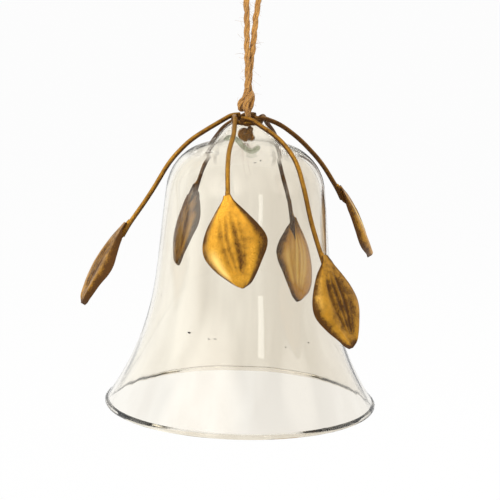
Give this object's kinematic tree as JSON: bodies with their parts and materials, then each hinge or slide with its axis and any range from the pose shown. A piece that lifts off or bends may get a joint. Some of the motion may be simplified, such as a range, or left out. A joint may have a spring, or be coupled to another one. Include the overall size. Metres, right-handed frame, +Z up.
{
  "type": "hanging glass bell ornament",
  "caption": "Clear blown glass bell hung on a knotted twine loop, its crown carrying a loose wreath of gilt metal leaves on curved wire stems.",
  "frame": {"origin": "hanging point, the underside of the top of the twine loop, on the bell's axis", "axes": "+Z up along the bell's axis towards what it hangs from; -Y is the front, the side that the picture shows"},
  "size_m": [0.109, 0.0998, 0.177],
  "materials": {
    "glass": "clear blown glass, gloss",
    "gilt": "antique gold paint over metal, satin, dark in the hollows",
    "twine": "natural jute, matte"
  },
  "bodies": {
    "hanger": {"twine_loop": "twine", "upper_knot": "twine", "twine_neck": "twine"},
    "stopper": {"stopper_knot": "twine"},
    "bell": {"glass_bell": "glass", "clapper_hook": "glass"},
    "wreath": {"hub_ring": "gilt", "weld_beads": "gilt", "stem_right": "gilt", "leaf_right": "gilt", "stem_back_right": "gilt", "leaf_back_right": "gilt", "stem_back_left": "gilt", "leaf_back_left": "gilt", "stem_left": "gilt", "leaf_left": "gilt", "stem_front_left": "gilt", "leaf_front_left": "gilt", "stem_front_right": "gilt", "leaf_front_right": "gilt"}
  },
  "joints": [
    {"name": "bell_turn", "type": "hinge", "parent": "hanger", "child": "stopper", "pos_m": [0, 0, -0.07328], "axis": [0, 0, 1], "continuous": true},
    {"name": "bell_swing", "type": "hinge", "parent": "stopper", "child": "bell", "pos_m": [0, 0, -0.07328], "axis": [1, 0, 0], "range_deg": [-10, 10]},
    {"name": "wreath_turn", "type": "hinge", "parent": "bell", "child": "wreath", "pos_m": [0, 0, -0.0698], "axis": [0, 0, 1], "continuous": true}
  ]
}
